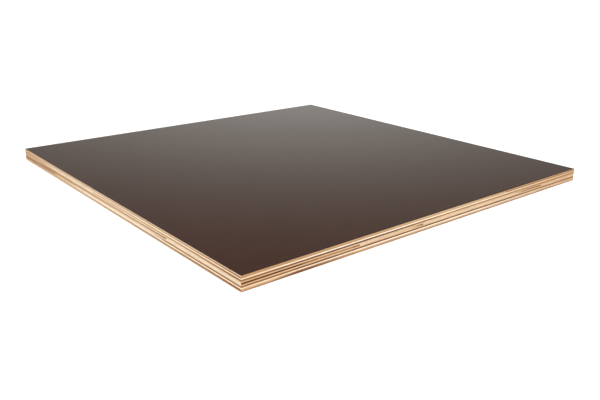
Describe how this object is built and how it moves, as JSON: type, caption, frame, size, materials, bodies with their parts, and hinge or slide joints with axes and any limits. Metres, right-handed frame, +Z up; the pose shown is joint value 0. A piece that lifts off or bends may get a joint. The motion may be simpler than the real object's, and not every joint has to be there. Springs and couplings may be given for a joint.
{
  "type": "film-faced plywood sheet",
  "caption": "Square-cut panel of film-faced plywood: cross-banded birch veneers pressed between smooth dark brown phenolic films, with bare sawn edges.",
  "frame": {"origin": "centre of the underside", "axes": "+Z up out of the upper face, +X along the grain of the face veneers, +Y across it"},
  "size_m": [0.5, 0.5, 0.0147],
  "materials": {
    "phenolic_film": "satin",
    "birch_long_grain": "sawn",
    "birch_cross_grain": "sawn"
  },
  "bodies": {
    "root": {"top_film": "phenolic_film", "face_veneer_01": "birch_long_grain", "cross_veneer_02": "birch_cross_grain", "long_veneer_03": "birch_long_grain", "cross_veneer_04": "birch_cross_grain", "long_veneer_05": "birch_long_grain", "cross_veneer_06": "birch_cross_grain", "long_veneer_07": "birch_long_grain", "cross_veneer_08": "birch_cross_grain", "long_veneer_09": "birch_long_grain", "cross_veneer_10": "birch_cross_grain", "face_veneer_11": "birch_long_grain", "bottom_film": "phenolic_film"}
  },
  "joints": []
}
